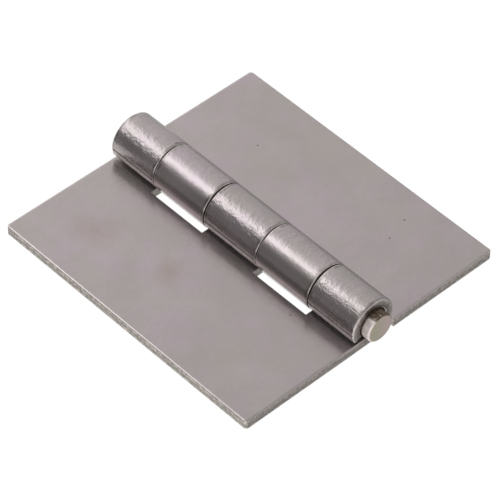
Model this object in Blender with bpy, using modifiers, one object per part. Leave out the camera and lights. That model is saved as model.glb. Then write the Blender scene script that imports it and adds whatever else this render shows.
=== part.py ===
"""Weld-on butt hinge of plain steel: two leaves, each rolled from one sheet, and the pin through them.

The hinge lies open and flat. The backs of the leaves are on Z = 0, the pin runs along Y above
X = 0, and the origin is on the back plane, under the middle of the barrel. The near leaf reaches
towards -X and carries knuckles 1, 3 and 5, counted from the +Y end. The far leaf reaches towards
+X and carries knuckles 2 and 4. Lengths are in metres and angles in radians.
"""

import math

import bmesh
import bpy

MM = 0.001

# Overall sizes
LEAF_LENGTH = 101.6 * MM  # along the pin, 4 in
LEAF_REACH = 48.8 * MM  # from the pin's axis to a leaf's outer edge
SHEET = 3.2 * MM  # thickness of the leaves, 1/8 in
PIN_DIAMETER = 9.5 * MM  # 3/8 in

# Knuckles
KNUCKLES = 5
KNUCKLE_PITCH = 21.7 * MM  # from joint to joint on the middle knuckles; the end ones take what is left
KNUCKLE_GAP = 0.3 * MM  # between two neighbouring knuckles
LIP_GAP = 1.2 * MM  # from the rolled sheet's end down to its own leaf
FACET_ANGLE = math.radians(6)  # the most that the roll turns from one facet to the next

# Fits, edges and ends
PIN_CLEARANCE = 0.05 * MM  # on the radius
NOTCH_CLEARANCE = 0.6 * MM  # from the barrel to the leaf's edge beside the other leaf's knuckles
CORNER_RADIUS = 1.1 * MM
CORNER_STEPS = 4
EDGE_ROUND = 0.3 * MM
EDGE_ANGLE = math.radians(50)  # an edge that turns more than this is rounded
SHARP_ANGLE = math.radians(30)  # an edge that turns more than this is shaded sharp
PIN_STAND_OUT = 3.0 * MM  # past knuckle 5
PIN_CHAMFER = 0.4 * MM
PIN_STEPS = 60
CIRCULAR = 0.5  # a bevel's profile that follows a circle
ON_LINE = 0.01 * MM  # points this near each other, or to the outline, count as on it

BORE_RADIUS = PIN_DIAMETER / 2 + PIN_CLEARANCE
BARREL_RADIUS = BORE_RADIUS + SHEET
AXIS_HEIGHT = BARREL_RADIUS
NOTCH_EDGE = BARREL_RADIUS + NOTCH_CLEARANCE
END_KNUCKLE = (LEAF_LENGTH - (KNUCKLES - 2) * KNUCKLE_PITCH) / 2

NEAR_SIDE = -1
FAR_SIDE = 1

# Bare steel, as (linear colour, roughness)
SHEET_STEEL = ((0.37, 0.35, 0.345), 0.32)
PIN_STEEL = ((0.42, 0.38, 0.34), 0.3)


def clear_scene():
    for obj in list(bpy.data.objects):
        bpy.data.objects.remove(obj)


def steel(name, colour, roughness):
    """A Principled BSDF material of bare steel."""
    material = bpy.data.materials.new(name)
    material.use_nodes = True
    shader = material.node_tree.nodes["Principled BSDF"]
    shader.inputs["Base Color"].default_value = (*colour, 1)
    shader.inputs["Metallic"].default_value = 1
    shader.inputs["Roughness"].default_value = roughness
    return material


def joint_places():
    """Y of the joints between the knuckles and of the barrel's two ends, from +Y to -Y."""
    inner = [
        LEAF_LENGTH / 2 - END_KNUCKLE - index * KNUCKLE_PITCH
        for index in range(KNUCKLES - 1)
    ]
    return [LEAF_LENGTH / 2, *inner, -LEAF_LENGTH / 2]


def strips(own_knuckles):
    """The leaf cut across into strips, as (start, end, is_knuckle), from +Y to -Y.

    At each joint a leaf's own knuckle stops half a gap short, and its notch is that much wider.
    """
    places = joint_places()
    cuts = [places[0]]
    for index, place in enumerate(places[1:-1], start=1):
        own_above = index in own_knuckles
        cuts.append(place + (KNUCKLE_GAP if own_above else -KNUCKLE_GAP) / 2)
    cuts.append(places[-1])
    return [
        (cuts[number - 1], cuts[number], number in own_knuckles)
        for number in range(1, KNUCKLES + 1)
    ]


def sheet_line(side):
    """(X, Z) along the middle of the sheet: flat from the outer edge, then rolled round the pin.

    The roll is an arc about the pin's axis. It ends where the sheet's outer corner is LIP_GAP above
    its own leaf. The second point is the edge of the notches.
    """
    radius = BARREL_RADIUS - SHEET / 2
    past_half_turn = math.asin((BARREL_RADIUS - SHEET - LIP_GAP) / BARREL_RADIUS)
    sweep = 1.5 * math.pi + past_half_turn
    steps = math.ceil(sweep / FACET_ANGLE)
    line = [(side * LEAF_REACH, SHEET / 2), (side * NOTCH_EDGE, SHEET / 2)]
    for index in range(steps + 1):
        turned = sweep * index / steps
        x = -side * radius * math.sin(turned)
        z = AXIS_HEIGHT - radius * math.cos(turned)
        line.append((x, z))
    return line


def draw_line(mesh, line, y):
    """Adds the profile line at one Y as a chain of edges, and returns its vertices."""
    points = [mesh.verts.new((x, y, z)) for x, z in line]
    for first, second in zip(points, points[1:]):
        mesh.edges.new((first, second))
    return points


def sweep_line(mesh, line, strip_list):
    """Extrudes the line along Y strip by strip, and deletes the notches."""
    points = draw_line(mesh, line, strip_list[0][0])
    edges = [mesh.edges.get(pair) for pair in zip(points, points[1:])]
    notched = []
    for start, end, is_knuckle in strip_list:
        made = bmesh.ops.extrude_edge_only(mesh, edges=edges)["geom"]
        moved = [item for item in made if isinstance(item, bmesh.types.BMVert)]
        bmesh.ops.translate(mesh, vec=(0, end - start, 0), verts=moved)
        edges = [
            item
            for item in made
            if isinstance(item, bmesh.types.BMEdge)
            and all(vertex in moved for vertex in item.verts)
        ]
        if not is_knuckle:
            notched.append((start, end))
    in_notch = [
        face
        for face in mesh.faces
        if any(end < face.calc_center_median().y < start for start, end in notched)
        and not reaches_outer_edge(face)
    ]
    bmesh.ops.delete(mesh, geom=in_notch, context="FACES")


def reaches_outer_edge(face):
    return max(abs(vertex.co.x) for vertex in face.verts) > LEAF_REACH - ON_LINE


def round_corners(mesh):
    """Rounds the two outer corners in plan."""
    corners = [
        vertex
        for vertex in mesh.verts
        if abs(vertex.co.x) > LEAF_REACH - ON_LINE
        and abs(vertex.co.y) > LEAF_LENGTH / 2 - ON_LINE
    ]
    bmesh.ops.bevel(
        mesh,
        geom=corners,
        offset=CORNER_RADIUS,
        offset_type="OFFSET",
        segments=CORNER_STEPS,
        profile=CIRCULAR,
        affect="VERTICES",
    )


def add_leaf(name, side, own_knuckles, collection, material):
    """One leaf: an open surface along the sheet's middle, with the sheet's thickness from Solidify.

    The object's origin is on the pin's axis, the line that the leaf turns about.
    """
    surface = bmesh.new()
    sweep_line(surface, sheet_line(side), strips(own_knuckles))
    round_corners(surface)
    bmesh.ops.translate(surface, vec=(0, 0, -AXIS_HEIGHT), verts=surface.verts)
    bmesh.ops.recalc_face_normals(surface, faces=surface.faces)
    data = bpy.data.meshes.new(name)
    surface.to_mesh(data)
    surface.free()
    leaf = bpy.data.objects.new(name, data)
    leaf.location = (0, 0, AXIS_HEIGHT)
    collection.objects.link(leaf)
    data.materials.append(material)

    wall = leaf.modifiers.new("Sheet", "SOLIDIFY")
    wall.thickness = SHEET
    wall.offset = 0
    wall.use_even_offset = True
    edges = leaf.modifiers.new("Edges", "BEVEL")
    edges.width = EDGE_ROUND
    edges.segments = 1
    edges.limit_method = "ANGLE"
    edges.angle_limit = EDGE_ANGLE
    data.shade_smooth()
    data.set_sharp_from_angle(angle=SHARP_ANGLE)
    return leaf


def add_pin(collection, material):
    """The pin, turned about Y: flush with knuckle 1, chamfered, and standing out of knuckle 5."""
    radius = PIN_DIAMETER / 2
    half_length = (LEAF_LENGTH + PIN_STAND_OUT) / 2
    outline = [
        (0, half_length),
        (radius - PIN_CHAMFER, half_length),
        (radius, half_length - PIN_CHAMFER),
        (radius, -half_length + PIN_CHAMFER),
        (radius - PIN_CHAMFER, -half_length),
        (0, -half_length),
    ]
    profile = bmesh.new()
    points = [profile.verts.new((x, 0, z)) for x, z in outline]
    for first, second in zip(points, points[1:]):
        profile.edges.new((first, second))
    data = bpy.data.meshes.new("pin")
    profile.to_mesh(data)
    profile.free()
    pin = bpy.data.objects.new("pin", data)
    pin.location = (0, -PIN_STAND_OUT / 2, AXIS_HEIGHT)
    pin.rotation_euler = (-math.pi / 2, 0, 0)
    collection.objects.link(pin)
    data.materials.append(material)

    turned = pin.modifiers.new("Turned", "SCREW")
    turned.steps = PIN_STEPS
    turned.render_steps = PIN_STEPS
    turned.use_merge_vertices = True
    turned.merge_threshold = ON_LINE
    turned.use_smooth_shade = True
    return pin


def build():
    clear_scene()
    collection = bpy.data.collections.new("door_hinge")
    bpy.context.scene.collection.children.link(collection)
    sheet_steel = steel("mill_finish_sheet_steel", *SHEET_STEEL)
    pin_steel = steel("drawn_pin_steel", *PIN_STEEL)
    odd = {number for number in range(1, KNUCKLES + 1) if number % 2 == 1}
    even = set(range(1, KNUCKLES + 1)) - odd
    add_leaf("near_leaf", NEAR_SIDE, odd, collection, sheet_steel)
    add_leaf("far_leaf", FAR_SIDE, even, collection, sheet_steel)
    add_pin(collection, pin_steel)


build()
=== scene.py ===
"""Looks of a weld-on butt hinge of plain steel: two leaves rolled from sheet, and the pin through them.

The sections follow the hinge as it is made: the two leaves, the pin, then the table that it lies on,
the light and the camera. Lengths are in metres, in the hinge's own frame: the backs of the leaves
on Z = 0, the pin along Y.
"""

import math

import bpy
import numpy as np
from mathutils import Matrix, Vector


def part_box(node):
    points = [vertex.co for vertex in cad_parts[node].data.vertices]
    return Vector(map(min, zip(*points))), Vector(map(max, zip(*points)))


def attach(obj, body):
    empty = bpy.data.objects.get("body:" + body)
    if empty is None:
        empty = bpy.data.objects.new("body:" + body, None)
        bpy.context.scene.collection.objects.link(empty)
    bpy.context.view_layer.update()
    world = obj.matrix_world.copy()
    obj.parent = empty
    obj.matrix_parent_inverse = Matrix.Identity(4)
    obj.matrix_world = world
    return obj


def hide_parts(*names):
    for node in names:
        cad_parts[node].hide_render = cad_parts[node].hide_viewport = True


MM = 0.001

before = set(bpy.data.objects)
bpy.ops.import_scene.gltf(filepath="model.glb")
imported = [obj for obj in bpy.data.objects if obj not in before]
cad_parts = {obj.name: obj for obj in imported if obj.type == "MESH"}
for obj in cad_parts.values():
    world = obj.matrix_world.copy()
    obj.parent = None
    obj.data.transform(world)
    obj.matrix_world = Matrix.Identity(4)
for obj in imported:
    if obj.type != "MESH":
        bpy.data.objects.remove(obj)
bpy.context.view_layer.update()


# ---- The two leaves ------------------------------------------------------------------------------
# Each leaf is one piece of 3.2 mm hot-rolled steel sheet, pickled and oiled. It is sheared to size,
# its notches are punched, and the tongues between them are rolled round a mandrel into knuckles.
# The near leaf has three knuckles and the far leaf two.

near_low, near_high = (np.array(corner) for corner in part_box("near_leaf"))
pin_low, pin_high = (np.array(corner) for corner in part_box("pin"))
leaf_length = near_high[1] - near_low[1]
leaf_reach = -near_low[0]
barrel_radius = near_high[0]
axis_height = barrel_radius
sheet = 3.2 * MM
knuckle_pitch = 21.7 * MM
knuckle_gap = 0.3 * MM
narrow_cut = 0.25 * MM  # how much the far leaf's tongues fall short of that on their -Y side
notch_edge = barrel_radius + 0.6 * MM
lip_gap = 1.2 * MM  # from the rolled lip down to its own leaf
lip_angle = 1.5 * np.pi + np.arcsin((barrel_radius - sheet - lip_gap) / barrel_radius)
groove_angle = lip_angle - 3.45 * MM / barrel_radius  # where the die has pinched the tongue
groove_half = 0.4 * MM
corner_radius = 1.1 * MM
wear_width = 1.1 * MM  # how far in from an edge handling has burnished it
joint_width = 2.4 * MM  # how far from a joint the shade painted on the knuckles reaches
# The mesh: rows near an edge, as distances from it, then how many rows or columns elsewhere
edge_rows = np.array([0, 0.03, 0.08, 0.16, 0.27, 0.42, 0.62, 0.9, 1.4, 2.2]) * MM
middle_rows = 3
roll_columns = 200
groove_columns = 13
corner_columns = 13
flat_columns = 9


def joint_places():
    """Y of the barrel's ends and of the four joints between its knuckles, from +Y to -Y."""
    inner = knuckle_pitch * (1.5 - np.arange(4))
    return np.concatenate([[leaf_length / 2], inner, [-leaf_length / 2]])


def sheet_line(side):
    """(X, Z, distance from the outer edge) along the middle of the sheet, as three arrays.

    Flat from the outer edge to the barrel's middle line, then an arc about the pin's axis, which
    ends where the sheet's outer corner is lip_gap above its own leaf: x = -side r sin(a) and
    z = axis - r cos(a), for a from 0 to lip_angle, with more steps at the groove and the lip.
    """
    radius = barrel_radius - sheet / 2
    to_lip = edge_rows[:-1] / barrel_radius
    even = np.linspace(0, lip_angle - to_lip[-1], roll_columns)
    groove = groove_angle + np.linspace(-1, 1, groove_columns) * groove_half / barrel_radius
    turned = np.unique(np.concatenate([even, groove, lip_angle - to_lip[:-1]]))
    corner = corner_radius * (1 - np.cos(np.linspace(0, np.pi / 2, corner_columns)))
    notch = leaf_reach - notch_edge
    open_sheet = np.linspace(3 * MM, notch - 4 * MM, flat_columns)
    flat = np.concatenate([corner, open_sheet, notch - edge_rows[::-1]])
    x = np.concatenate([side * (leaf_reach - flat), -side * radius * np.sin(turned)])
    z = np.concatenate([np.full(flat.size, sheet / 2), axis_height - radius * np.cos(turned)])
    return x, z, flat


def strip_ends(own):
    """(top, bottom) Y of the five strips of a leaf, from +Y to -Y: half a gap short on an own one."""
    ends = joint_places()
    ends[1:-1] += np.where(np.isin(np.arange(1, 5), own), 1, -1) * knuckle_gap / 2
    if 2 in own:
        ends[[2, 4]] += narrow_cut
    return list(zip(ends[:-1], ends[1:]))


def leaf_surface(side, own):
    """Corners and quads of the sheet's middle surface: sheet_line carried along Y.

    Rows crowd towards the knuckles' ends. In the first columns the rows' ends are drawn in along a
    quarter circle, y = L/2 - r + sqrt(r^2 - (r - d)^2) at d from the outer edge, which rounds the
    leaf's corners. Quads in the notches are left out.
    """
    x, z, flat = sheet_line(side)
    rows, is_own = [], []
    for number, (top, bottom) in enumerate(strip_ends(own), start=1):
        middle = np.linspace(top, bottom, middle_rows + 2)[1:-1]
        stretch = np.concatenate([top - edge_rows, middle, bottom + edge_rows[::-1]])
        rows.append(stretch if number == 1 else stretch[1:])
        is_own.append(np.full(stretch.size - 1, number in own))
    y = np.concatenate(rows)
    strip_is_own = np.concatenate(is_own)

    columns, count = x.size, y.size
    inward = np.minimum(np.concatenate([flat, np.full(columns - flat.size, leaf_reach)]), corner_radius)
    round_off = corner_radius - np.sqrt(corner_radius**2 - (corner_radius - inward) ** 2)
    share = np.clip((np.abs(y) - leaf_length / 2 + 3 * corner_radius) / (3 * corner_radius), 0, 1)
    grid_y = y[:, None] - np.sign(y)[:, None] * share[:, None] * round_off
    grid_x, grid_z = (np.broadcast_to(line, (count, columns)) for line in (x, z))
    points = np.stack([grid_x, grid_y, grid_z], -1)

    row, column = np.meshgrid(np.arange(count - 1), np.arange(columns - 1), indexing="ij")
    kept = (column < flat.size - 1) | strip_is_own[row]
    first = (row * columns + column)[kept]
    quads = np.stack([first, first + 1, first + columns + 1, first + columns], -1)
    if side < 0:
        quads = quads[:, ::-1]
    used, quads = np.unique(quads, return_inverse=True)
    return points.reshape(-1, 3)[used], quads.reshape(-1, 4)


def finished(obj):
    """Replaces the object's mesh by what its modifiers make of it, and clears them."""
    evaluated = obj.evaluated_get(bpy.context.evaluated_depsgraph_get())
    mesh = bpy.data.meshes.new_from_object(evaluated)
    mesh.name = obj.name
    obj.modifiers.clear()
    obj.data = mesh


def linear(colour):
    """A colour written as sRGB hex, such as "c4bcb8", as linear (r, g, b, 1)."""
    parts = np.array([int(colour[place : place + 2], 16) / 255 for place in (0, 2, 4)])
    parts = np.where(parts <= 0.04045, parts / 12.92, ((parts + 0.055) / 1.055) ** 2.4)
    return (*parts, 1.0)


def add_node(tree, kind, settings=None, **inputs):
    """A shader node with its settings, and each named input set to a value or linked to a socket."""
    node = tree.nodes.new(kind)
    for name, value in (settings or {}).items():
        setattr(node, name, value)
    for name, value in inputs.items():
        key = int(name[1:]) if name[1:].isdigit() else name.replace("_", " ")
        if isinstance(value, bpy.types.NodeSocket):
            tree.links.new(value, node.inputs[key])
        else:
            node.inputs[key].default_value = value
    return node


def new_material(name):
    """An empty node material, its tree and its Principled shader joined to the output."""
    material = bpy.data.materials.new(name)
    material.use_nodes = True
    tree = material.node_tree
    tree.nodes.clear()
    shader = add_node(tree, "ShaderNodeBsdfPrincipled")
    add_node(tree, "ShaderNodeOutputMaterial", Surface=shader.outputs["BSDF"])
    return material, tree, shader


def mill_finish_steel():
    """Hot-rolled sheet, pickled and lightly oiled.

    Smooth grey metal with a faint warm cast: soft clouds some millimetres across where the oil and
    the pickling are uneven, a few dark pits, hair-fine handling scratches, a gentle unevenness of
    the rolled surface that frays reflections, and brighter metal where edges are burnished.
    """
    material, tree, shader = new_material("mill_finish_sheet_steel")
    place = add_node(tree, "ShaderNodeTexCoord").outputs["Object"]

    # Clouds of oil and pickling 14 mm across, and of a pinker tint 9 mm across
    clouds = add_node(tree, "ShaderNodeTexNoise", Vector=place, Scale=1 / 0.014, Detail=3.0, Roughness=0.55)
    tint = add_node(tree, "ShaderNodeTexNoise", Vector=place, Scale=1 / 0.009, Detail=2.0, Distortion=0.4)
    pinker = add_node(
        tree, "ShaderNodeMapRange", Value=tint.outputs["Fac"], From_Min=0.35, From_Max=0.65
    ).outputs[0]
    body = add_node(
        tree, "ShaderNodeMix", {"data_type": "RGBA"}, _0=pinker, _6=linear("a8a19e"), _7=linear("aca1a4")
    ).outputs[2]
    shade = add_node(
        tree, "ShaderNodeMapRange", Value=clouds.outputs["Fac"],
        From_Min=0.3, From_Max=0.7, To_Min=0.95, To_Max=1.04,
    ).outputs[0]

    # Two faint fingerprints of rust on the near leaf, 20 mm and 14 mm wide, frayed by the tint's noise
    for spot, spread, strength in (((-31.8, 31.4, 3.2), 10, 0.35), ((-26.1, 5.0, 3.2), 7, 0.42)):
        away = add_node(
            tree, "ShaderNodeVectorMath", {"operation": "DISTANCE"}, _0=place, _1=tuple(v * MM for v in spot)
        ).outputs["Value"]
        away = add_node(
            tree, "ShaderNodeMath", {"operation": "MULTIPLY_ADD"},
            _0=tint.outputs["Fac"], _1=8 * MM, _2=away,
        ).outputs[0]
        rusty = add_node(
            tree, "ShaderNodeMapRange", Value=away,
            From_Min=(spread + 4) * MM, From_Max=4 * MM, To_Max=strength,
        ).outputs[0]
        body = add_node(
            tree, "ShaderNodeMix", {"data_type": "RGBA"}, _0=rusty, _6=body, _7=linear("9d8884")
        ).outputs[2]

    # Pits: points strewn through the steel, one to each 11 mm cell, make a ragged pit some 0.6 mm
    # across wherever one lies close enough to the surface
    cells = add_node(tree, "ShaderNodeTexVoronoi", Vector=place, Scale=1 / 0.011)
    ragged = add_node(tree, "ShaderNodeTexNoise", Vector=place, Scale=1 / 0.0008, Detail=1.0)
    reach = add_node(
        tree, "ShaderNodeMath", {"operation": "MULTIPLY"}, _0=ragged.outputs["Fac"], _1=0.055
    ).outputs[0]
    pits = add_node(
        tree, "ShaderNodeMath", {"operation": "LESS_THAN"}, _0=cells.outputs["Distance"], _1=reach
    ).outputs[0]

    # Hair scratches: thin ridges of a stretched noise, 0.15 mm wide and centimetres long
    slanted = add_node(
        tree, "ShaderNodeMapping", Vector=place, Rotation=(0, 0, math.radians(34)), Scale=(1, 0.06, 1)
    ).outputs[0]
    hair = add_node(tree, "ShaderNodeTexNoise", Vector=slanted, Scale=1 / 0.0022, Detail=2.0)
    nearness = add_node(
        tree, "ShaderNodeMath", {"operation": "COMPARE"}, _0=hair.outputs["Fac"], _1=0.5, _2=0.006
    ).outputs[0]
    patches = add_node(tree, "ShaderNodeTexNoise", Vector=place, Scale=1 / 0.018, Detail=1.0)
    scratched = add_node(
        tree, "ShaderNodeMapRange", Value=patches.outputs["Fac"], From_Min=0.55, From_Max=0.7
    ).outputs[0]
    scratches = add_node(
        tree, "ShaderNodeMath", {"operation": "MULTIPLY"}, _0=nearness, _1=scratched
    ).outputs[0]

    # Burnished edges: the wear attribute, frayed by a 1 mm noise
    wear = add_node(tree, "ShaderNodeAttribute", {"attribute_name": "wear"}).outputs["Fac"]
    fray = add_node(tree, "ShaderNodeTexNoise", Vector=place, Scale=1 / 0.0013, Detail=3.0)
    frayed = add_node(
        tree, "ShaderNodeMath", {"operation": "MULTIPLY_ADD"}, _0=fray.outputs["Fac"], _1=0.9, _2=-0.45
    ).outputs[0]
    worn = add_node(tree, "ShaderNodeMath", {"operation": "ADD"}, _0=wear, _1=frayed).outputs[0]
    worn = add_node(tree, "ShaderNodeMapRange", Value=worn, From_Min=0.45, From_Max=1.0).outputs[0]

    # Painted shade and painted dark reflections by the knuckles' joints and in the groove, drawn as darker
    # smudges: the joint attribute, torn into smudges by a 2.5 mm noise
    joint = add_node(tree, "ShaderNodeAttribute", {"attribute_name": "joint"}).outputs["Fac"]
    torn = add_node(tree, "ShaderNodeTexNoise", Vector=place, Scale=1 / 0.0025, Detail=2.0, Roughness=0.6)
    joint_shade_smudges = add_node(
        tree, "ShaderNodeMath", {"operation": "MULTIPLY"}, _0=joint, _1=torn.outputs["Fac"]
    ).outputs[0]
    joint_shade_smudges = add_node(
        tree, "ShaderNodeMapRange", Value=joint_shade_smudges, From_Min=0.26, From_Max=0.46, To_Max=0.72
    ).outputs[0]

    # Colour: clouds, then pits and the painted shade by joints and groove darker, then worn metal lighter
    clouded = add_node(
        tree, "ShaderNodeMix", {"data_type": "RGBA", "blend_type": "MULTIPLY"}, _0=1.0, _6=body, _7=shade
    ).outputs[2]
    pitted = add_node(
        tree, "ShaderNodeMix", {"data_type": "RGBA"}, _0=pits, _6=clouded, _7=linear("6f6564")
    ).outputs[2]
    with_painted_shade = add_node(
        tree, "ShaderNodeMix", {"data_type": "RGBA"}, _0=joint_shade_smudges, _6=pitted, _7=linear("6a605f")
    ).outputs[2]
    colour = add_node(
        tree, "ShaderNodeMix", {"data_type": "RGBA"}, _0=worn, _6=with_painted_shade, _7=linear("bcb4b1")
    ).outputs[2]
    tree.links.new(colour, shader.inputs["Base Color"])

    # Not quite metal: a film of oil and dust has gathered on the flats, from the barrel to 6 mm out
    xyz = add_node(tree, "ShaderNodeSeparateXYZ", Vector=place).outputs
    from_middle = add_node(tree, "ShaderNodeMath", {"operation": "ABSOLUTE"}, _0=xyz["X"]).outputs[0]
    beside = add_node(
        tree, "ShaderNodeMapRange", Value=from_middle,
        From_Min=barrel_radius + 1 * MM, From_Max=barrel_radius + 6 * MM, To_Min=0.18, To_Max=0.0,
    ).outputs[0]
    low = add_node(
        tree, "ShaderNodeMath", {"operation": "LESS_THAN"}, _0=xyz["Z"], _1=sheet + 0.1 * MM
    ).outputs[0]
    film = add_node(tree, "ShaderNodeMath", {"operation": "MULTIPLY"}, _0=beside, _1=low).outputs[0]
    metal = add_node(tree, "ShaderNodeMath", {"operation": "SUBTRACT"}, _0=1.0, _1=film).outputs[0]
    tree.links.new(metal, shader.inputs["Metallic"])

    # Roughness: 0.22 where the oil fills the surface, 0.29 where it is dry, less where burnished
    dry = add_node(
        tree, "ShaderNodeMapRange", Value=clouds.outputs["Fac"],
        From_Min=0.3, From_Max=0.7, To_Min=0.22, To_Max=0.29,
    ).outputs[0]
    scuffed = add_node(
        tree, "ShaderNodeMath", {"operation": "MULTIPLY_ADD"}, _0=scratches, _1=0.08, _2=dry
    ).outputs[0]
    smoothed = add_node(
        tree, "ShaderNodeMath", {"operation": "MULTIPLY_ADD"}, _0=worn, _1=-0.06, _2=scuffed
    ).outputs[0]
    tree.links.new(smoothed, shader.inputs["Roughness"])

    # Relief, in millimetres: the sheet waves a little every 6 mm. Towards the lip bending has opened
    # an orange peel 1.7 mm across, with a finer one 0.7 mm across, and the die has left low ridges
    # 2 mm apart along the barrel. All are faint on the flat. Then the pits.
    rolled = add_node(tree, "ShaderNodeAttribute", {"attribute_name": "rolled"}).outputs["Fac"]
    drawn_out = add_node(tree, "ShaderNodeMapping", Vector=place, Scale=(1, 0.07, 1)).outputs[0]
    normal = None
    for where, across, on_flat, on_roll in (
        (place, 6.0, 0.05, 0.12),
        (drawn_out, 2.0, 0.0, 0.11),
        (place, 1.7, 0.012, 0.14),
        (place, 0.7, 0.003, 0.11),
    ):
        peel = add_node(
            tree, "ShaderNodeTexNoise", Vector=where, Scale=1 / (across * MM), Detail=2.0, Roughness=0.6
        ).outputs["Fac"]
        depth = add_node(tree, "ShaderNodeMapRange", Value=rolled, To_Min=on_flat, To_Max=on_roll).outputs[0]
        height = add_node(tree, "ShaderNodeMath", {"operation": "MULTIPLY"}, _0=peel, _1=depth).outputs[0]
        bump = add_node(tree, "ShaderNodeBump", Height=height, Strength=1.0, Distance=MM)
        if normal:
            tree.links.new(normal, bump.inputs["Normal"])
        normal = bump.outputs[0]
    pitting = add_node(
        tree, "ShaderNodeBump", {"invert": True}, Height=pits, Strength=0.5, Distance=0.02 * MM, Normal=normal
    ).outputs[0]
    tree.links.new(pitting, shader.inputs["Normal"])
    return material


def sheared_steel():
    """The face that a shear leaves: a burnished band, then torn metal, duller and darker.

    Fine drag lines run through the thickness, so they are drawn as a noise that is the same all the
    way through the sheet. Blotches of oil and dirt some 1 mm across lie on it. The knuckles' ends
    have rubbed against each other and are smoother. Round the pin the faces are painted dark, fading
    out towards the knuckles' rims: painted shade in the mouth of the bore.
    """
    material, tree, shader = new_material("sheared_edge_steel")
    place = add_node(tree, "ShaderNodeTexCoord").outputs["Object"]
    blotches = add_node(
        tree, "ShaderNodeTexNoise", Vector=place, Scale=1 / 0.0011, Detail=3.0, Roughness=0.65
    )
    warmth = add_node(tree, "ShaderNodeTexNoise", Vector=place, Scale=1 / 0.006, Detail=1.0)
    tone = add_node(
        tree, "ShaderNodeMapRange", Value=blotches.outputs["Fac"], From_Min=0.35, From_Max=0.65
    ).outputs[0]
    dark = add_node(
        tree, "ShaderNodeMix", {"data_type": "RGBA"}, _0=warmth.outputs["Fac"],
        _6=linear("837d73"), _7=linear("88807d"),
    ).outputs[2]
    colour = add_node(
        tree, "ShaderNodeMix", {"data_type": "RGBA"}, _0=tone, _6=dark, _7=linear("bab3ae")
    ).outputs[2]
    # Where the burnished band ends, some 1.3 mm up, a dark line wanders along the leaf's edges
    rolled = add_node(tree, "ShaderNodeAttribute", {"attribute_name": "rolled"}).outputs["Fac"]
    height = add_node(tree, "ShaderNodeSeparateXYZ", Vector=place).outputs["Z"]
    wandering = add_node(
        tree, "ShaderNodeMath", {"operation": "MULTIPLY_ADD"},
        _0=warmth.outputs["Fac"], _1=1.6 * MM, _2=height,
    ).outputs[0]
    break_line = add_node(
        tree, "ShaderNodeMath", {"operation": "COMPARE"}, _0=wandering, _1=2.1 * MM, _2=0.25 * MM
    ).outputs[0]
    break_line = add_node(
        tree, "ShaderNodeMath", {"operation": "SUBTRACT", "use_clamp": True}, _0=break_line, _1=rolled
    ).outputs[0]
    colour = add_node(
        tree, "ShaderNodeMix", {"data_type": "RGBA"}, _0=break_line, _6=colour, _7=linear("88817b")
    ).outputs[2]
    # Painted shade rings the pin on the knuckles' ends, thinning out to their rims: the mouth of the bore
    # drawn darker
    from_axis = add_node(
        tree, "ShaderNodeVectorMath", {"operation": "MULTIPLY_ADD"},
        _0=place, _1=(1, 0, 1), _2=(0, 0, -axis_height),
    ).outputs[0]
    radius = add_node(
        tree, "ShaderNodeVectorMath", {"operation": "LENGTH"}, _0=from_axis
    ).outputs["Value"]
    with_painted_shade = add_node(
        tree, "ShaderNodeMapRange", Value=radius,
        From_Min=5.3 * MM, From_Max=7.6 * MM, To_Min=0.85, To_Max=0.0,
    ).outputs[0]
    colour = add_node(
        tree, "ShaderNodeMix", {"data_type": "RGBA"}, _0=with_painted_shade, _6=colour, _7=linear("4a413a")
    ).outputs[2]
    tree.links.new(colour, shader.inputs["Base Color"])
    shader.inputs["Metallic"].default_value = 1
    roughness = add_node(
        tree, "ShaderNodeMapRange", Value=blotches.outputs["Fac"],
        From_Min=0.3, From_Max=0.7, To_Min=0.52, To_Max=0.34,
    ).outputs[0]
    rubbed = add_node(
        tree, "ShaderNodeMath", {"operation": "MULTIPLY_ADD"}, _0=rolled, _1=-0.1, _2=roughness
    ).outputs[0]
    tree.links.new(rubbed, shader.inputs["Roughness"])
    through = add_node(tree, "ShaderNodeAttribute", {"attribute_name": "along_edge"}).outputs["Fac"]
    drag = add_node(
        tree, "ShaderNodeTexNoise", {"noise_dimensions": "1D"}, W=through, Scale=1 / 0.0004, Detail=2.0
    )
    lines = add_node(
        tree, "ShaderNodeBump", Height=drag.outputs["Fac"], Strength=1.0, Distance=0.02 * MM
    ).outputs[0]
    torn = add_node(
        tree, "ShaderNodeBump", Height=blotches.outputs["Fac"], Strength=1.0, Distance=0.06 * MM, Normal=lines
    ).outputs[0]
    tree.links.new(torn, shader.inputs["Normal"])
    return material


def on_sheet(points, side):
    """Whether each point is on the flat, how far round the roll it is, and its radius there."""
    x, z = side * points[:, 0], points[:, 2]
    flat = (x > 0) & (z < sheet * 1.01)
    turned = np.where(flat, 0, np.mod(np.arctan2(-x, axis_height - z), 2 * np.pi))
    return flat, turned, np.hypot(x, axis_height - z)


def edge_distances(points, side, own):
    """How far each point lies, in the sheet, from its three kinds of sheared edge, as (3, n).

    First the leaf's outer edge and ends, with the rounded corners between them. Second the walls of
    the notches and the ends of the knuckles: a notch is the box x < notch_edge between two Ys, and
    on the roll only Y counts. Third the lip, as an arc r (lip_angle - a).
    """
    flat, turned, _ = on_sheet(points, side)
    x, y = side * points[:, 0], points[:, 1]
    to_side = np.where(flat, leaf_reach - x, leaf_reach)
    to_end = leaf_length / 2 - np.abs(y)
    near_x, near_y = corner_radius - to_side, corner_radius - to_end
    in_corner = (near_x > 0) & (near_y > 0)
    outline = np.where(in_corner, corner_radius - np.hypot(near_x, near_y), np.minimum(to_side, to_end))
    beyond = np.where(flat, np.maximum(x - notch_edge, 0), 0)
    walls = [
        np.hypot(beyond, np.maximum(np.maximum(bottom - y, y - top), 0))
        for number, (top, bottom) in enumerate(strip_ends(own), start=1)
        if number not in own
    ]
    to_lip = np.where(flat, leaf_reach, (lip_angle - turned) * barrel_radius)
    return np.maximum(np.stack([outline, np.minimum.reduce(walls), to_lip]), 0)


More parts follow.
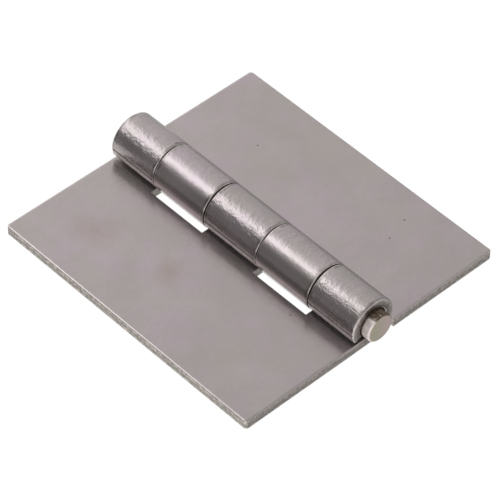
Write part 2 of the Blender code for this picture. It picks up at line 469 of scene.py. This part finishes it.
def shaped_edges(points, side, own):
    """Moves the points as shearing and rolling do, and returns them.

    At d from an edge a face drops by D (1 - sqrt(1 - (1 - d/w)^2)), a quarter ellipse w wide and D
    deep: the rollover of a sheared edge. It is larger where the barrel ends, where the bore also opens
    like a countersink. A groove, a raised cosine 0.2 mm deep, runs along the roll short of the lip.
    """
    flat, turned, radius = on_sheet(points, side)
    x, z = side * points[:, 0], points[:, 2]
    outside = np.where(flat, z - sheet / 2, radius - barrel_radius + sheet / 2) > 0
    distances = edge_distances(points, side, own)

    def drop(distance, width, depth):
        return depth * (1 - np.sqrt(1 - np.clip(1 - distance / width, 0, 1) ** 2))

    rolled = np.clip(turned, 0, 1)
    outline = drop(distances[0], (0.6 + 0.1 * rolled) * MM, (0.27 + 0.25 * rolled) * MM)
    outer = np.maximum.reduce(
        [outline, drop(distances[1], 0.5 * MM, 0.16 * MM), drop(distances[2], 0.9 * MM, 0.4 * MM)]
    )
    bore = np.where(turned < 1, 0, drop(distances[0], 0.9 * MM, 0.6 * MM))
    inner = np.maximum(bore, drop(distances.min(0), 0.3 * MM, 0.15 * MM))
    across = np.clip((turned - groove_angle) * barrel_radius / groove_half, -1, 1)
    groove = 0.1 * MM * (1 + np.cos(across * np.pi))
    move = np.where(outside, -outer - np.where(flat, 0, groove), inner)
    along_x = np.where(flat, 0, x / radius)
    along_z = np.where(flat, 1, (z - axis_height) / radius)
    return points + move[:, None] * np.stack([side * along_x, 0 * x, along_z], -1)


def leaf(name, side, own, materials):
    """One leaf: its middle surface, given the sheet's thickness and its edges' shapes."""
    points, quads = leaf_surface(side, own)
    mesh = bpy.data.meshes.new(name)
    mesh.from_pydata(points, [], quads)
    obj = bpy.data.objects.new(name, mesh)
    bpy.context.scene.collection.objects.link(obj)
    for material in materials:
        mesh.materials.append(material)
    wall = obj.modifiers.new("sheet", "SOLIDIFY")
    wall.thickness = sheet
    wall.offset = 0
    wall.use_even_offset = True
    wall.material_offset_rim = 1
    finished(obj)

    points = np.empty(len(obj.data.vertices) * 3)
    obj.data.vertices.foreach_get("co", points)
    points = points.reshape(-1, 3)
    obj.data.vertices.foreach_set("co", shaped_edges(points, side, own).ravel())
    distances = edge_distances(points, side, own)
    turned = on_sheet(points, side)[1]
    # The joint attribute marks where shade is painted on the roll: near the barrel's ends and joints, and in
    # the groove
    near_joint = np.clip(turned, 0, 1) * (1 - distances[:2].min(0) / joint_width)
    in_groove = 1.3 - 1.3 * np.abs(turned - groove_angle) * barrel_radius / groove_half
    for attribute, values in (
        ("rolled", np.clip((turned - 1.2) / 2.5, 0, 1) ** 2),
        ("wear", np.clip(1 - distances.min(0) / wear_width, 0, 1)),
        ("joint", np.clip(np.maximum(near_joint, in_groove), 0, 1)),
        ("along_edge", points[:, 0] + points[:, 1]),
    ):
        obj.data.attributes.new(attribute, "FLOAT", "POINT").data.foreach_set("value", values)

    obj.data.shade_smooth()
    obj.data.set_sharp_from_angle(angle=math.radians(50))
    even = obj.modifiers.new("flat_faces_shade_flat", "WEIGHTED_NORMAL")
    even.mode = "FACE_AREA"
    even.keep_sharp = True
    finished(obj)
    return obj


steels = [mill_finish_steel(), sheared_steel()]
near_leaf = leaf("near_leaf_rolled", -1, (1, 3, 5), steels)
far_leaf = leaf("far_leaf_rolled", 1, (2, 4), steels)
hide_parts("near_leaf")
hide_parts("far_leaf")
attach(near_leaf, "near_leaf")
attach(far_leaf, "far_leaf")


# ---- The pin -------------------------------------------------------------------------------------
# A length of 9.5 mm cold-drawn round bar, cropped to length and chamfered in a lathe at both ends. It
# is driven through the knuckles and stands 3 mm out of the last one.

pin_radius = 9.5 * MM / 2
pin_chamfer = 0.4 * MM
pin_sides = 144


def pin_outline():
    """(radius, Y) of the pin's side from the middle of its -Y end to the middle of its +Y end.

    Each end is a flat disc, a short round, a 45 degree chamfer, another short round, and the side.
    """
    turn = np.linspace(0, np.pi / 4, 6)
    ease = 0.3 * MM
    flat = np.array([0, 0.25, 0.5, 0.7]) * (pin_radius - pin_chamfer)
    inner_r = pin_radius - pin_chamfer - ease * math.tan(math.pi / 8) + ease * np.sin(turn)
    inner_y = ease * (1 - np.cos(turn))
    outer_r = pin_radius - ease * (1 - np.cos(turn[::-1]))
    outer_y = pin_chamfer + ease * math.tan(math.pi / 8) - ease * np.sin(turn[::-1])
    radius = np.concatenate([flat, inner_r, outer_r])
    depth = np.concatenate([np.zeros(flat.size), inner_y, outer_y])
    middle = np.linspace(pin_low[1] + 3 * MM, pin_high[1] - 3 * MM, 9)
    return (
        np.concatenate([radius, np.full(middle.size, pin_radius), radius[::-1]]),
        np.concatenate([pin_low[1] + depth, middle, pin_high[1] - depth[::-1]]),
    )


def turned_surface(radius, y, sides):
    """Points and faces of the outline turned about the pin's axis.

    x = r cos(a) and z = axis + r sin(a), for a in equal steps round the circle. The outline's two
    ends are on the axis, and each is one point with a fan of triangles.
    """
    angle = np.arange(sides) * 2 * np.pi / sides
    ring_r, ring_y = radius[1:-1, None], y[1:-1, None]
    rings = np.stack(
        [ring_r * np.cos(angle), ring_y + 0 * angle, axis_height + ring_r * np.sin(angle)], -1
    ).reshape(-1, 3)
    poles = np.array([[0, y[0], axis_height], [0, y[-1], axis_height]])
    here = np.arange(sides)
    after = (here + 1) % sides
    start = (np.arange(radius.size - 3) * sides)[:, None]
    quads = np.stack([start + here, start + sides + here, start + sides + after, start + after], -1)
    last = (radius.size - 3) * sides
    low_pole, high_pole = len(rings), len(rings) + 1
    first_fan = np.stack([np.full(sides, low_pole), here, after], -1)
    last_fan = np.stack([last + after, last + here, np.full(sides, high_pole)], -1)
    fans = np.concatenate([first_fan, last_fan])
    return np.concatenate([rings, poles]), [*quads.reshape(-1, 4).tolist(), *fans.tolist()]


def drawn_steel():
    """Cold-drawn bar that has been cropped and tumbled: pale and satin, with fine die lines along it.

    The cropped end is straw-coloured on one side and pinkish on the other. The upper right of the bar
    beside the knuckle is painted a mottled dark brown with a ragged edge: painted shade and a painted
    dark reflection of the knuckle's end.
    """
    material, tree, shader = new_material("cold_drawn_pin_steel")
    coordinates = add_node(tree, "ShaderNodeTexCoord").outputs
    place = coordinates["Object"]
    xyz = add_node(tree, "ShaderNodeSeparateXYZ", Vector=place).outputs
    facing = add_node(tree, "ShaderNodeSeparateXYZ", Vector=coordinates["Normal"]).outputs["Y"]
    along_pin = add_node(tree, "ShaderNodeMath", {"operation": "ABSOLUTE"}, _0=facing).outputs[0]
    on_end = add_node(tree, "ShaderNodeMapRange", Value=along_pin, From_Min=0.8, From_Max=0.95).outputs[0]
    blotches = add_node(
        tree, "ShaderNodeTexNoise", Vector=place, Scale=1 / 0.0018, Detail=3.0, Roughness=0.6
    )
    tone = add_node(
        tree, "ShaderNodeMapRange", Value=blotches.outputs["Fac"], From_Min=0.35, From_Max=0.65
    ).outputs[0]
    side = add_node(
        tree, "ShaderNodeMix", {"data_type": "RGBA"}, _0=tone, _6=linear("d2c6c2"), _7=linear("e9dedb")
    ).outputs[2]
    # Across the end from X = -2 mm to X = 3 mm the tint goes from straw to pinkish
    across = add_node(
        tree, "ShaderNodeMath", {"operation": "MULTIPLY_ADD"},
        _0=blotches.outputs["Fac"], _1=2.5 * MM, _2=xyz["X"],
    ).outputs[0]
    pinkness = add_node(
        tree, "ShaderNodeMapRange", Value=across, From_Min=-0.5 * MM, From_Max=4 * MM
    ).outputs[0]
    end = add_node(
        tree, "ShaderNodeMix", {"data_type": "RGBA"}, _0=pinkness, _6=linear("b8b19f"), _7=linear("c4b3ae")
    ).outputs[2]
    metal = add_node(tree, "ShaderNodeMix", {"data_type": "RGBA"}, _0=on_end, _6=side, _7=end).outputs[2]
    # Painted shade: dark brown where 0.87 X + 0.49 (Z - axis), frayed by the blotches, is above 0, standing
    # in for the shade and the dark reflection on the bar's upper right
    upper_right = add_node(
        tree, "ShaderNodeVectorMath", {"operation": "DOT_PRODUCT"}, _0=place, _1=(0.87, 0, 0.49)
    ).outputs["Value"]
    ragged = add_node(
        tree, "ShaderNodeMath", {"operation": "MULTIPLY_ADD"},
        _0=blotches.outputs["Fac"], _1=1.6 * MM, _2=upper_right,
    ).outputs[0]
    shade_painted_on_pin = add_node(
        tree, "ShaderNodeMapRange", Value=ragged,
        From_Min=0.49 * axis_height + 0.7 * MM, From_Max=0.49 * axis_height + 1.1 * MM,
    ).outputs[0]
    # The painted shade also runs all round beside the knuckle, in a line some 0.35 mm wide, where the bar
    # goes into the bore
    seam = add_node(
        tree, "ShaderNodeMapRange", Value=xyz["Y"],
        From_Min=pin_low[1] + 2.5 * MM, From_Max=pin_low[1] + 2.8 * MM,
    ).outputs[0]
    shade_painted_on_pin = add_node(
        tree, "ShaderNodeMath", {"operation": "MAXIMUM"}, _0=shade_painted_on_pin, _1=seam
    ).outputs[0]
    sides_only = add_node(
        tree, "ShaderNodeMath", {"operation": "SUBTRACT"}, _0=1.0, _1=on_end
    ).outputs[0]
    shade_painted_on_pin = add_node(
        tree, "ShaderNodeMath", {"operation": "MULTIPLY"}, _0=shade_painted_on_pin, _1=sides_only
    ).outputs[0]
    # The painted shade is mottled, dark brown with greyer patches 1 mm across
    patches = add_node(tree, "ShaderNodeTexNoise", Vector=place, Scale=1 / 0.001, Detail=2.0).outputs["Fac"]
    paler_patches = add_node(tree, "ShaderNodeMapRange", Value=patches, From_Min=0.45, From_Max=0.62).outputs[0]
    pin_shade_colour = add_node(
        tree, "ShaderNodeMix", {"data_type": "RGBA"}, _0=paler_patches, _6=linear("665743"), _7=linear("978a84")
    ).outputs[2]
    colour = add_node(
        tree, "ShaderNodeMix", {"data_type": "RGBA"}, _0=shade_painted_on_pin, _6=metal, _7=pin_shade_colour
    ).outputs[2]
    tree.links.new(colour, shader.inputs["Base Color"])
    # The whitish bloom on the bar is not metal. The cropped end and the part with painted shade have none
    bare = add_node(
        tree, "ShaderNodeMath", {"operation": "ADD", "use_clamp": True}, _0=on_end, _1=shade_painted_on_pin
    ).outputs[0]
    metallic = add_node(tree, "ShaderNodeMapRange", Value=bare, To_Min=0.5, To_Max=1.0).outputs[0]
    tree.links.new(metallic, shader.inputs["Metallic"])
    roughness = add_node(
        tree, "ShaderNodeMapRange", Value=blotches.outputs["Fac"],
        From_Min=0.3, From_Max=0.7, To_Min=0.5, To_Max=0.38,
    ).outputs[0]
    tree.links.new(roughness, shader.inputs["Roughness"])
    along = add_node(tree, "ShaderNodeMapping", Vector=place, Scale=(1, 0.02, 1)).outputs[0]
    die_lines = add_node(tree, "ShaderNodeTexNoise", Vector=along, Scale=1 / 0.0005, Detail=2.0)
    lines = add_node(
        tree, "ShaderNodeBump", Height=die_lines.outputs["Fac"], Strength=1.0, Distance=0.01 * MM
    ).outputs[0]
    tree.links.new(lines, shader.inputs["Normal"])
    return material


pin_points, pin_faces = turned_surface(*pin_outline(), pin_sides)
pin_mesh = bpy.data.meshes.new("pin_drawn")
pin_mesh.from_pydata(pin_points, [], pin_faces)
pin_mesh.materials.append(drawn_steel())
pin_mesh.shade_smooth()
pin = bpy.data.objects.new("pin_drawn", pin_mesh)
bpy.context.scene.collection.objects.link(pin)
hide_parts("pin")
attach(pin, "near_leaf")


# ---- The table -----------------------------------------------------------------------------------
# A white light table, so the hinge throws no shadow. It is left low enough for a leaf to hang down.

table_height = -0.045
table_half = 4.0
table_mesh = bpy.data.meshes.new("light_table")
table_mesh.from_pydata(
    np.array([[-1, -1, 0], [1, -1, 0], [1, 1, 0], [-1, 1, 0]]) * table_half + [0, 0, table_height],
    [],
    [[0, 1, 2, 3]],
)
table = bpy.data.objects.new("light_table", table_mesh)
bpy.context.scene.collection.objects.link(table)
glowing = bpy.data.materials.new("white_glowing_acrylic")
glowing.use_nodes = True
glowing.node_tree.nodes.clear()
glow = add_node(glowing.node_tree, "ShaderNodeEmission", Color=linear("ffffff"), Strength=1.0)
add_node(glowing.node_tree, "ShaderNodeOutputMaterial", Surface=glow.outputs[0])
table_mesh.materials.append(glowing)
table.visible_glossy = False
table.visible_diffuse = False
table.visible_shadow = False


# ---- The light -----------------------------------------------------------------------------------
# One softbox overhead to the left, and the studio round the table, which the bright steel mirrors.
# Its far left wall is the lightest, a dark screen stands to the left, and the right side is dim.

world = bpy.data.worlds.new("studio_walls")
bpy.context.scene.world = world
world.use_nodes = True
walls = world.node_tree
walls.nodes.clear()
toward = add_node(walls, "ShaderNodeTexCoord").outputs["Generated"]
brightness = 0.42
# (direction, cosine where it starts, cosine where it is full, how much it adds)
for direction, starts, full, adds in (
    ((-0.433, 0.902, 0), -0.35, 0.75, 1.05),
    ((-0.842, 0.49, 0.226), 0.72, 0.95, -1.22),
    ((-0.6, -0.6, -0.4), 0.3, 0.9, 0.65),
    ((0.75, 0.49, -0.45), 0.84, 0.98, -0.22),
    ((-0.485, 0.49, -0.724), 0.8, 0.97, -0.4),
    ((0.05, 0.49, 0.87), 0.86, 0.98, -0.16),
    ((0.5, -0.8, 0.1), 0.2, 0.9, 0.22),
    ((-0.583, 0.49, 0.647), 0.955, 0.995, 0.16),
    ((0.0, 1.0, 0.0), 0.64, 0.97, -0.55),
    ((0.6, -0.6, 0.53), 0.7, 0.95, 0.35),
    ((0.3, -0.6, 0.75), 0.86, 0.97, -0.45),
):
    facing = add_node(
        walls, "ShaderNodeVectorMath", {"operation": "DOT_PRODUCT"},
        _0=toward, _1=Vector(direction).normalized(),
    ).outputs["Value"]
    share = add_node(
        walls, "ShaderNodeMapRange", {"interpolation_type": "SMOOTHSTEP"},
        Value=facing, From_Min=starts, From_Max=full, To_Min=0.0, To_Max=adds,
    ).outputs[0]
    brightness = add_node(walls, "ShaderNodeMath", _0=brightness, _1=share).outputs[0]
seen = add_node(walls, "ShaderNodeLightPath").outputs["Is Camera Ray"]
wall_light = add_node(walls, "ShaderNodeBackground", Color=linear("ffffff"), Strength=brightness)
backdrop = add_node(walls, "ShaderNodeBackground", Color=linear("ffffff"), Strength=1.0)
both = add_node(walls, "ShaderNodeMixShader", _0=seen, _1=wall_light.outputs[0], _2=backdrop.outputs[0])
add_node(walls, "ShaderNodeOutputWorld", Surface=both.outputs[0])

softbox_from = Vector((-0.335, 0.49, 0.806)).normalized()
softbox_distance = 0.9
softbox_length = 0.85
softbox_shift = 0.25  # along its length, away from the camera
softbox_width = 0.29
softbox_radiance = 1.3
softbox_data = bpy.data.lights.new("softbox", "AREA")
softbox_data.shape = "RECTANGLE"
softbox_data.color = linear("f6f9ff")[:3]
softbox_data.size = softbox_width
softbox_data.size_y = softbox_length
softbox_data.energy = softbox_radiance * math.pi * softbox_width * softbox_length
softbox = bpy.data.objects.new("softbox", softbox_data)
bpy.context.scene.collection.objects.link(softbox)
long_way = Vector((0.70, 0.71, 0))
long_way = (long_way - softbox_from * long_way.dot(softbox_from)).normalized()
short_way = long_way.cross(softbox_from)
softbox_place = softbox_from * softbox_distance + long_way * softbox_shift
softbox_turn = Matrix((short_way, long_way, softbox_from)).transposed().to_4x4()
softbox.matrix_world = Matrix.Translation(softbox_place) @ softbox_turn


# ---- The camera ----------------------------------------------------------------------------------
# A long lens, looking down across the hinge from beside its near leaf and the pin's proud end.

azimuth = math.radians(-44.676)
elevation = math.radians(46.360)
roll = math.radians(1.903)
looks_at = Vector((-0.955 * MM, -1.615 * MM, 0))
distance = 0.9634
outward = math.cos(elevation)
back = Vector((math.sin(azimuth) * outward, -math.cos(azimuth) * outward, math.sin(elevation)))
level = Vector((math.cos(azimuth), math.sin(azimuth), 0))
upward = back.cross(level)
right = math.cos(roll) * level + math.sin(roll) * upward
upright = math.cos(roll) * upward - math.sin(roll) * level
camera_data = bpy.data.cameras.new("camera")
camera_data.lens = 239.3  # mm, on a sensor 36 mm wide
camera_data.sensor_width = 36
camera = bpy.data.objects.new("camera", camera_data)
bpy.context.scene.collection.objects.link(camera)
camera_turn = Matrix((right, upright, back)).transposed().to_4x4()
camera.matrix_world = Matrix.Translation(looks_at + back * distance) @ camera_turn
bpy.context.scene.camera = camera
bpy.context.scene.view_settings.view_transform = "Standard"
